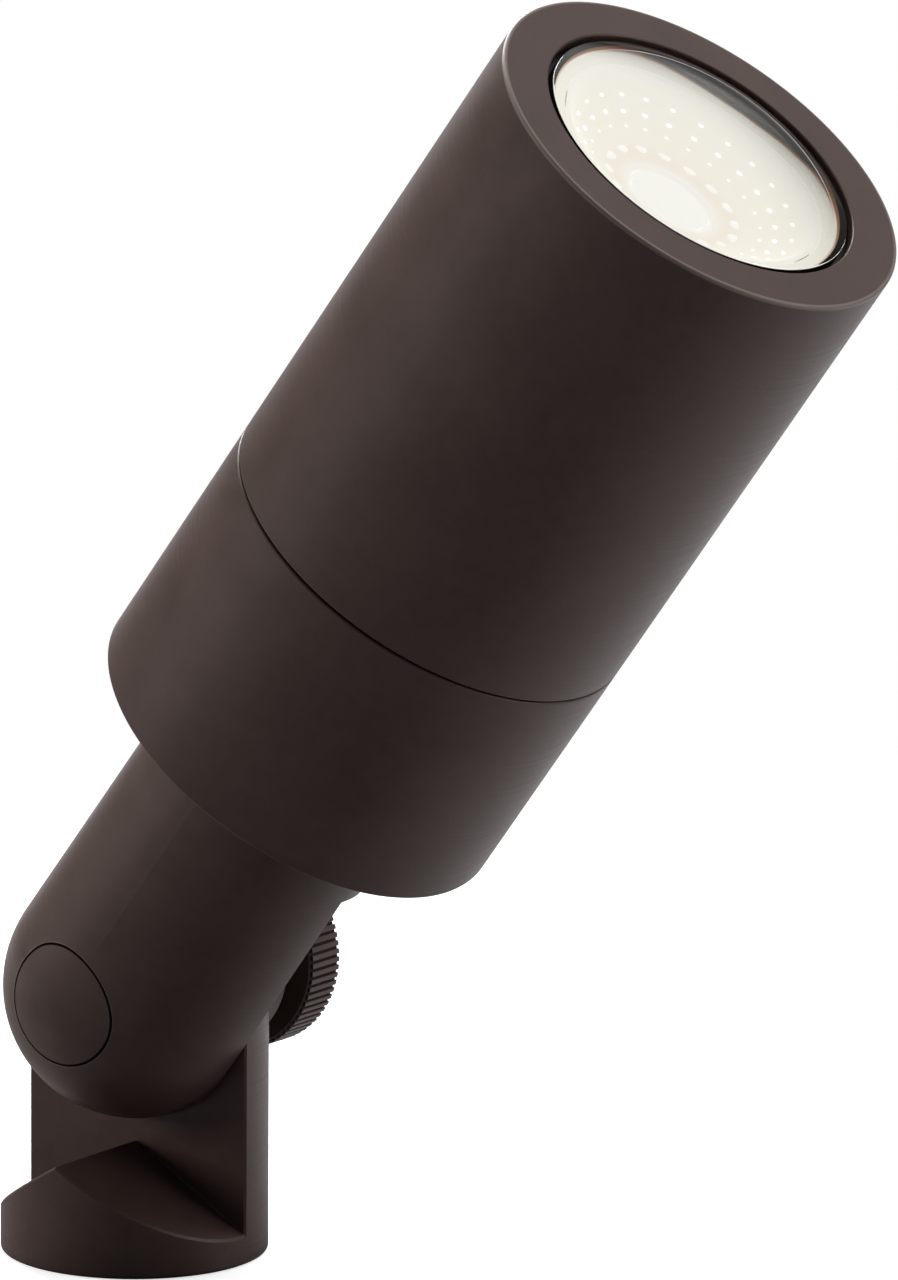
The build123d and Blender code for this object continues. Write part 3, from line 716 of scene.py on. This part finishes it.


# %% [markdown]
# ## The shroud
# A straight tube with a lip in front that holds the lens. Its front face is flat, with a rounded outer
# edge that draws the bright line round the front, together with a painted highlight in the coat, and a
# rounded inner edge over the dark gap.

# %% The shroud
opening, _, seat_bore, shroud_bore, _, _, _ = radii("shroud")
shroud_start, _, seat_shoulder, lip_back, _, _ = stations("shroud")
shroud_mesh = spun("shroud_tube", rounded([
    (opening, head_front, 0.3 * mm),
    (head_radius, head_front, 0.4 * mm),
    (head_radius, shroud_start, 0.3 * mm),
    (shroud_bore, shroud_start, 0.3 * mm),
    (shroud_bore, seat_shoulder, 0.1 * mm),
    (seat_bore, seat_shoulder, 0.1 * mm),
    (seat_bore, lip_back, 0.1 * mm),
    (opening, lip_back, 0.1 * mm),
]))
stand_in("shroud_tube", shroud_mesh, head_frame, head_coat, "shroud", "shroud")

# %% [markdown]
# ## Threads
# A screw thread follows a helix, so Geometry Nodes make it: a spiral curve with a three-cornered profile
# swept along it. The tree takes the radius, the pitch and the number of turns, so the same tree cuts the
# fine thread of the housing's neck and the coarser one inside the stake socket.

# %% Helpers for Geometry Nodes
socket_kinds = {
    float: "NodeSocketFloat", int: "NodeSocketInt", bpy.types.Material: "NodeSocketMaterial",
}


def new_geometry_tree(name, inputs):
    """A tree that takes and gives geometry, with one input for each name: kind; and what it is given."""
    tree = bpy.data.node_groups.new(name, "GeometryNodeTree")
    tree.interface.new_socket(name="Geometry", in_out="INPUT", socket_type="NodeSocketGeometry")
    for label, kind in inputs.items():
        tree.interface.new_socket(name=label, in_out="INPUT", socket_type=socket_kinds[kind])
    tree.interface.new_socket(name="Geometry", in_out="OUTPUT", socket_type="NodeSocketGeometry")
    return tree, add_node(tree, "NodeGroupInput").outputs


# %% Lifting a shape and closing a tree
def lifted(tree, geometry, height):
    """Geometry moved up along Z."""
    up = add_node(tree, "ShaderNodeCombineXYZ", Z=height)
    return add_node(tree, "GeometryNodeTransform", Geometry=geometry, Translation=up)


def end_tree(tree, given, added):
    """Close a tree: the added geometry is realized, given its material and joined to what came in."""
    real = add_node(tree, "GeometryNodeRealizeInstances", added)
    finish = add_node(tree, "GeometryNodeSetMaterial", Geometry=real, Material=given["Material"])
    joined = add_node(tree, "GeometryNodeJoinGeometry", given["Geometry"])
    fill(joined, {0: finish})
    add_node(tree, "NodeGroupOutput", joined)
    return tree


# %% Running a tree on a mesh
def grown(mesh, tree, **values):
    """Run a tree on a mesh with its named inputs, and return the plain mesh that it makes."""
    carrier = bpy.data.objects.new(mesh.name + "_carrier", mesh)
    bpy.context.scene.collection.objects.link(carrier)
    maker = carrier.modifiers.new("maker", "NODES")
    maker.node_group = tree
    sockets = {item.name: item.identifier for item in tree.interface.items_tree if item.in_out == "INPUT"}
    for label, value in values.items():
        maker[sockets[label.replace("_", " ")]] = value
    carrier.update_tag()
    evaluated = carrier.evaluated_get(bpy.context.evaluated_depsgraph_get())
    made = bpy.data.meshes.new_from_object(evaluated)
    bpy.data.objects.remove(carrier)
    return made


# %% The thread tree
def thread_tree():
    """A three-cornered ridge swept along a helix about Z, joined to the mesh that comes in."""
    tree, given = new_geometry_tree("screw_thread", {
        "Radius": float, "Pitch": float, "Turns": float, "Start": float, "Ridge": float, "Point": float,
        "Material": bpy.types.Material,
    })
    height = arithmetic(tree, "MULTIPLY", given["Pitch"], given["Turns"])
    helix = add_node(
        tree, "GeometryNodeCurveSpiral", Resolution=96, Rotations=given["Turns"],
        Start_Radius=given["Radius"], End_Radius=given["Radius"], Height=height,
    )
    corner = add_node(tree, "GeometryNodeCurvePrimitiveCircle", Resolution=3, Radius=given["Ridge"])
    point = add_node(tree, "ShaderNodeCombineXYZ", Z=given["Point"])
    turned = add_node(tree, "GeometryNodeTransform", Geometry=corner, Rotation=point)
    sweep = add_node(
        tree, "GeometryNodeCurveToMesh", Curve=helix, Profile_Curve=turned, Fill_Caps=True
    )
    return end_tree(tree, given, lifted(tree, sweep, given["Start"]))


screw_thread = thread_tree()
print(screw_thread.name, "made")

# %% [markdown]
# ## The rear housing
# A cup: the arm passes its floor, and its neck screws into the shroud. The neck is turned down between
# the O-ring's groove and its end, and the thread's ridge is swept round that. The head's turning joint
# moves the shroud 1.5 mm a turn, which is the thread's pitch.

# %% The rear housing
housing_radii = radii("rear_housing")
arm_bore = housing_radii[0]
neck_bore, _, groove_floor, _, neck_radius, _, _ = housing_radii[-7:]
rear_back, _, _, rear_floor, _, seam, groove_start, groove_end, _, neck_end = stations("rear_housing")
thread_pitch = 1.5 * mm
thread_depth = 0.75 * mm
thread_land = 0.7 * mm
thread_ridge = 0.72 * mm
thread_run_out = 0.5
thread_root = neck_radius - thread_depth
housing_mesh = spun("rear_cup", rounded([
    (arm_bore, rear_back, 0.2 * mm),
    (head_radius, rear_back, 0.4 * mm),
    (head_radius, seam, 0.3 * mm),
    (neck_radius, seam, 0.1 * mm),
    (neck_radius, groove_start, 0.1 * mm),
    (groove_floor, groove_start, 0.1 * mm),
    (groove_floor, groove_end, 0.1 * mm),
    (neck_radius, groove_end, 0.1 * mm),
    (neck_radius, groove_end + thread_land, 0.1 * mm),
    (thread_root, groove_end + thread_land + thread_depth, 0.1 * mm),
    (thread_root, neck_end, 0.3 * mm),
    (neck_bore, neck_end, 0.3 * mm),
    (neck_bore, rear_floor, 0.4 * mm),
    (arm_bore, rear_floor, 0.2 * mm),
]))
housing_mesh.materials.append(head_coat)
thread_start = groove_end + thread_land + thread_pitch / 2
housing_mesh = grown(
    housing_mesh, screw_thread, Radius=thread_root, Pitch=thread_pitch, Start=thread_start,
    Turns=(neck_end - thread_start) / thread_pitch - thread_run_out, Ridge=thread_ridge, Point=0.0,
    Material=head_coat,
)
stand_in("rear_cup", housing_mesh, head_frame, head_coat, "head", "rear_housing")
widest = max(from_axis(vertex.co, head_axis, head_base) for vertex in housing_mesh.vertices)
print("widest radius in mm:", round(widest / mm, 2))

# %% [markdown]
# ## The lens
# A thick moulded glass: a domed front, a straight wall, a flange that the lip holds, and a hollow back.
# The bright and dark arcs round a real lens come from its wall and its rounded edge bending the light,
# so the glass is a closed body with a true thickness, not a painted disc. Its wall and flange are opaque
# and dark, which is painted shade.

# %% The lens
def lens_glass():
    """Clear glass; the slight waviness of a moulding moves the reflections."""
    material, tree = new_material("lens_glass")
    return principled(
        material, Base_Color=(0.985, 0.985, 0.98, 1), Roughness=0.0, IOR=1.49, Transmission_Weight=1.0,
        Normal=surface_grain(tree, 70, 8),
    )


def shaded_edge():
    """Painted shade on the glass's wall and flange: a dark opaque skin in place of the shade round the
    glass.
    """
    material, tree = new_material("shaded_edge")
    tone = place_effect(tree, blotches, Broad=300.0, Fine=1500.0)
    share = map_value(tree, tone, 0.4, 0.7, 0, 1)
    colour = mix_colour(tree, share, (0.010, 0.007, 0.006, 1), (0.034, 0.018, 0.008, 1))
    return principled(
        material, Base_Color=colour, Roughness=spread(tree, tone, 0.3, 0.5), Specular_IOR_Level=0.3,
        Normal=surface_grain(tree, 2600, 10),
    )


hollow_radius = 22.8 * mm
glass_thickness = 4.4 * mm
dome_steps = 40
# The dome's edge is a little wider than in the construction, and lies just below the front face
edge_growth = 0.1 * mm
edge_drop = 0.3 * mm
# The painted shade ends this far below the dome's edge
shade_drop = 0.4 * mm
*_, dome_radius, flange_radius = radii("lens")
dome_radius += edge_growth
lens_back, *_, crown = stations("lens")
lens_seat = stations("lens_gasket")[0]
dome_edge = head_front - edge_drop
dome = crown_arc(dome_radius, dome_edge, crown, dome_steps)
hollow = crown_arc(hollow_radius, lens_back, crown - glass_thickness, dome_steps)
# The first steps of both arcs are left to the rounded corners
lens_profile = rounded([
    (*hollow[3], 0),
    (hollow_radius, lens_back, 0.3 * mm),
    (flange_radius, lens_back, 0.15 * mm),
    (flange_radius, lens_seat, 0.15 * mm),
    (dome_radius, lens_seat, 0.15 * mm),
    (dome_radius, dome_edge, 0.35 * mm),
    (*dome[4], 0),
])
lens_mesh = spun("lens_dome", lens_profile + dome[5:] + hollow[:3:-1])
lens_mesh.materials.append(lens_glass())
lens_mesh.materials.append(shaded_edge())
# The wall and flange get the painted shade
for face in lens_mesh.polygons:
    radius, station = hypot(face.center.x, face.center.y), face.center.z
    shaded = radius > hollow_radius and station < dome_edge - shade_drop
    face.material_index = int(shaded)
stand_in("lens_dome", lens_mesh, head_frame, None, "shroud", "lens")

# %% [markdown]
# ## The lamp behind the lens
# A lit reflector lamp fills the lens with warm white. Its bowl is satin aluminium, bright all over, with
# rings of small round facets that spread the beam, and each facet shows as a whiter dot, a painted glint.
# A real bowl would need thousands of light paths to glow like this, so its surface gives out light
# itself, which is painted light: the colour runs from white at the light source through a warmer ring to
# cream at the mouth.

# %% Glowing finishes
def glowing(name, stops, widest, strength):
    """A lit surface whose colour changes with the distance from the head's axis: stops (share, colour)."""
    material, tree = new_material(name)
    radius, _ = ring_place(tree, lathe_place(tree, head_axis, head_base))
    ramp = add_node(tree, "ShaderNodeValToRGB", map_value(tree, radius, 0, widest, 0, 1))
    ramp.color_ramp.interpolation = "EASE"
    points = ramp.color_ramp.elements
    for point, (place, colour) in zip(points, stops):
        point.position = place
        point.color = colour
    for place, colour in stops[2:]:
        points.new(place).color = colour
    return principled(
        material, Base_Color=(0.05, 0.048, 0.042, 1), Roughness=0.45, Specular_IOR_Level=0.15,
        Emission_Color=ramp, Emission_Strength=strength, Normal=surface_grain(tree, 1200, 10),
    )


glow_white = (1.0, 0.985, 0.93, 1)
glow_warm = (0.955, 0.89, 0.77, 1)
glow_cream = (0.98, 0.94, 0.83, 1)
glow_pale = (1.0, 0.965, 0.88, 1)
painted_rim_fringe = (0.42, 0.20, 0.10, 1)
painted_rim_shade = (0.02, 0.015, 0.012, 1)
mouth = 20.6 * mm
rim_reach = 25 * mm
bowl_glow = glowing("bowl_glow", [
    (0.28, glow_white), (0.46, glow_warm), (0.58, glow_cream), (0.88, glow_cream), (0.96, glow_pale),
], mouth, 0.92)
source_glow = glowing("source_glow", [(0.0, glow_white), (0.30, glow_white)], mouth, 0.93)
bowl_bright = glowing("bowl_bright", [(0.0, glow_white), (1.0, glow_white)], mouth, 0.97)
facet_glow = glowing("facet_glow", [(0.4, (1, 1, 0.97, 1)), (1.0, (1, 1, 1, 1))], mouth, 1.1)
# The rim's glow is painted light; it ends in a painted brown fringe and painted shade
rim_glow = glowing("rim_glow", [
    (0.0, glow_cream), (0.895, glow_cream), (0.912, painted_rim_fringe), (0.935, painted_rim_shade),
], rim_reach, 0.9)
glows = (bowl_glow, source_glow, bowl_bright, facet_glow, rim_glow)
print("glowing finishes:", [glow.name for glow in glows])

# %% [markdown]
# The facets repeat round the bowl, so one tree makes a ring of them: a circle of points, a flattened
# bead on each point, lifted to its place. It runs once for each ring, and each ring sits on
# the bowl's own arc, which starts flat at the light source and curves up to the mouth.

# %% The tree for a ring of beads
def bead_ring_tree():
    """A ring of flattened beads about Z, joined to the mesh that comes in."""
    tree, given = new_geometry_tree("bead_ring", {
        "Count": int, "Radius": float, "Station": float, "Bead": float, "Flatness": float,
        "Material": bpy.types.Material,
    })
    circle = add_node(tree, "GeometryNodeMeshCircle", Vertices=given["Count"], Radius=given["Radius"])
    ball = add_node(tree, "GeometryNodeMeshIcoSphere", Radius=1.0, Subdivisions=2)
    smooth = add_node(tree, "GeometryNodeSetShadeSmooth", ball)
    height = arithmetic(tree, "MULTIPLY", given["Bead"], given["Flatness"])
    size = add_node(tree, "ShaderNodeCombineXYZ", given["Bead"], given["Bead"], height)
    beads = add_node(tree, "GeometryNodeInstanceOnPoints", Points=circle, Instance=smooth, Scale=size)
    return end_tree(tree, given, lifted(tree, beads, given["Station"]))


bead_ring = bead_ring_tree()
print(bead_ring.name, "made")

# %% [markdown]
# The bowl itself is a thin spun shell: the arc, and the same arc again behind it for the wall. A true
# parabola would look the same at this size, and the arc needs only the throat and the mouth.

# %% The bowl
throat, *_, bowl_edge = radii("lamp_reflector")
board_front, *_, bowl_front = stations("lamp_reflector")
bowl_wall = 0.65 * mm
bowl_floor = board_front + bowl_wall
bowl_mouth = bowl_edge - bowl_wall
bowl_depth = bowl_front - bowl_floor
bowl_ball = ((bowl_mouth - throat) ** 2 + bowl_depth ** 2) / (2 * bowl_depth)


def bowl_station(radius):
    """How far along the head the bowl's inside lies at a radius."""
    return bowl_floor + bowl_ball - sqrt(bowl_ball ** 2 - (radius - throat) ** 2)


bowl_steps = 20
bowl_radii = [throat + (bowl_mouth - throat) * step / bowl_steps for step in range(bowl_steps + 1)]
inside = [(radius, bowl_station(radius)) for radius in bowl_radii]
outside = [(radius + bowl_wall * (radius - throat) / (bowl_mouth - throat), station - bowl_wall)
           for radius, station in inside]
outside[-1] = (bowl_mouth + bowl_wall, bowl_front)
bowl_mesh = spun("lamp_bowl", inside + outside[::-1])
bowl_mesh.materials.append(bowl_glow)
# Each ring of facets, whose glow is a painted glint: how many, radius of the ring and of a facet in mm,
# flatness, finish
facet_rings = [
    (16, 10.6, 1.1, 0.08, bowl_bright),
    (24, 13.8, 0.34, 0.3, facet_glow),
    (24, 15.7, 0.56, 0.25, facet_glow),
    (24, 17.6, 0.50, 0.25, facet_glow),
]
for count, radius, bead, flatness, finish in facet_rings:
    bowl_mesh = grown(
        bowl_mesh, bead_ring, Count=count, Radius=radius * mm, Station=bowl_station(radius * mm),
        Bead=bead * mm, Flatness=flatness, Material=finish,
    )
stand_in("lamp_bowl", bowl_mesh, head_frame, bowl_glow, "head", "lamp_reflector")

# %% [markdown]
# The light source is a round yellow-white phosphor on its board, and the lamp's moulded rim surrounds the
# bowl. The rim's faint glow is painted light, as from light that leaks round the lens, and towards its
# outer edge it turns to a painted brown fringe and painted shade.

# %% The source and the lamp's rim
rim_bore, _, rim_radius = radii("lamp_bezel")
rim_back, _, rim_front = stations("lamp_bezel")
rim_mesh = spun("lamp_rim", rounded([
    (rim_bore, rim_back, 0.15 * mm),
    (rim_bore, rim_front, 0.3 * mm),
    (rim_radius, rim_front, 0.6 * mm),
    (rim_radius, rim_back, 0.15 * mm),
]))
stand_in("lamp_rim", rim_mesh, head_frame, rim_glow, "head", "lamp_bezel")
dress("led_chip", source_glow)
dress("led_board", bowl_glow)

# %% [markdown]
# ## The thumb knob
# A moulded knob with a ribbed rim, a hub towards the washer and a shallow dish outside. Its 75 ribs are
# one rounded bar repeated, so Geometry Nodes place them: a circle of points, a short swept bar on each,
# turned to face outwards. The body under them is spun like the other round pieces.

# %% The tree for the ribs
def rib_ring_tree():
    """Rounded bars along Z, standing in a ring about Z, joined to the mesh that comes in."""
    tree, given = new_geometry_tree("rib_ring", {
        "Count": int, "Radius": float, "Width": float, "Height": float, "Rounding": float,
        "Start": float, "Length": float, "Material": bpy.types.Material,
    })
    circle = add_node(tree, "GeometryNodeMeshCircle", Vertices=given["Count"], Radius=given["Radius"])
    section = add_node(
        tree, "GeometryNodeCurvePrimitiveQuadrilateral", Width=given["Width"], Height=given["Height"]
    )
    softened = add_node(
        tree, "GeometryNodeFilletCurve", mode="POLY", Curve=section, Count=3, Radius=given["Rounding"]
    )
    end = add_node(tree, "ShaderNodeCombineXYZ", Z=given["Length"])
    run = add_node(tree, "GeometryNodeCurvePrimitiveLine", End=end)
    bar = add_node(tree, "GeometryNodeCurveToMesh", Curve=run, Profile_Curve=softened, Fill_Caps=True)
    # A bar faces outwards when it turns by its share of the ring
    share = arithmetic(tree, "DIVIDE", add_node(tree, "GeometryNodeInputIndex"), given["Count"])
    facing = add_node(tree, "ShaderNodeCombineXYZ", Z=arithmetic(tree, "MULTIPLY", share, 2 * pi))
    ribs = add_node(tree, "GeometryNodeInstanceOnPoints", Points=circle, Instance=bar, Rotation=facing)
    return end_tree(tree, given, lifted(tree, ribs, given["Start"]))


rib_ring = rib_ring_tree()
print(rib_ring.name, "made")

# %% [markdown]
# The knob's outline comes from the imported piece, less the height of the ribs that stand on it. The
# faces between the ribs have a darker finish of their own, which is painted shade.

# %% The knob
knob_start, knob_near, *_, knob_far = stations("thumb_knob", side_axis, pivot)
insert_end = stations("knob_insert", side_axis, pivot)[-1]
insert_radius = 6.5 * mm
knob_radius = radii("thumb_knob", side_axis, pivot)[-1]
hub_radius = 10.0 * mm
dish_radius = 11.0 * mm
dish_depth = 0.8 * mm
dish_slope = 0.5 * mm
rib_count = 75
rib_height = 0.45 * mm
rib_groove = 0.5 * mm
rib_foot = 0.3 * mm
rib_inset = 0.3 * mm
rib_rounding = 0.1 * mm
# The floor of the grooves is darker than the ribs, painted shade, from this far inside the body's rim
groove_shade_band = 0.1 * mm
core_radius = knob_radius - rib_height
knob_groove_shade = plain_finish(
    "knob_groove_shade", (0.004, 0.003, 0.003), (0.010, 0.007, 0.006), (0.7, 0.9), 0.0, 2600, 20
)
knob_mesh = spun("ribbed_knob", rounded([
    (insert_radius, knob_start, 0.15 * mm),
    (hub_radius, knob_start, 0.4 * mm),
    (hub_radius, knob_near, 0.3 * mm),
    (core_radius, knob_near, 0.35 * mm),
    (core_radius, knob_far, 0.35 * mm),
    (dish_radius, knob_far, 0.25 * mm),
    (dish_radius - dish_slope, knob_far - dish_depth, 0.25 * mm),
    (0, knob_far - dish_depth, 0),
    (0, insert_end, 0),
    (insert_radius, insert_end, 0.1 * mm),
]))
knob_mesh.materials.append(knob_coat)
knob_mesh.materials.append(knob_groove_shade)
# The faces of the core between the ribs get the painted shade
for face in knob_mesh.polygons:
    face.material_index = int(hypot(face.center.x, face.center.y) > core_radius - groove_shade_band)
rib_width = 2 * pi * knob_radius / rib_count - rib_groove
knob_mesh = grown(
    knob_mesh, rib_ring, Count=rib_count, Radius=core_radius + (rib_height - rib_foot) / 2,
    Width=rib_height + rib_foot, Height=rib_width, Rounding=rib_rounding, Start=knob_near + rib_inset,
    Length=knob_far - knob_near - 2 * rib_inset, Material=knob_coat,
)
stand_in("ribbed_knob", knob_mesh, knob_frame, knob_coat, "knob", "thumb_knob")
widest = max(from_axis(vertex.co, side_axis, pivot) for vertex in knob_mesh.vertices)
print("knob radius in mm:", round(widest / mm, 2), "from", round(knob_radius / mm, 2))

# %% [markdown]
# ## Inside the stake socket
# The base's open underside is a threaded socket. The same thread tree sweeps its ridge round the bore's
# wall, with the three-cornered profile turned to point inwards.

# %% The socket's thread
socket_bore = 9.6 * mm
socket_depth = 9.0 * mm
socket_pitch = 1.814 * mm
socket_ridge = 0.62 * mm
# The ridge starts a little above the base's flat bottom, and both ends of the bore stay plain
ridge_start = 0.9 * mm
plain_ends = 2 * mm
socket_mesh = grown(
    bpy.data.meshes.new("socket_thread"), screw_thread, Radius=socket_bore + socket_ridge / 2,
    Pitch=socket_pitch, Start=ridge_start, Turns=(socket_depth - plain_ends) / socket_pitch,
    Ridge=socket_ridge, Point=pi, Material=base_coat,
)
socket_thread = bpy.data.objects.new("socket_thread", socket_mesh)
bpy.context.scene.collection.objects.link(socket_thread)
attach(socket_thread, "base")
ridge_radii = [hypot(vertex.co.x, vertex.co.y) / mm for vertex in socket_mesh.vertices]
print("ridge from", round(min(ridge_radii), 2), "to", round(max(ridge_radii), 2), "mm out,",
      len(socket_mesh.polygons), "faces")

# %% [markdown]
# ## Sizes
# The looks must not reach beyond the construction, so both boxes are printed side by side and kept.

# %% Sizes
new_low, new_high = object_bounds()
sizes = {"cad": [list(cad_low), list(cad_high)], "visual": [list(new_low), list(new_high)]}
for label, (low, high) in sizes.items():
    print(label, "box in mm:", [round((top - bottom) / mm, 1) for bottom, top in zip(low, high)])
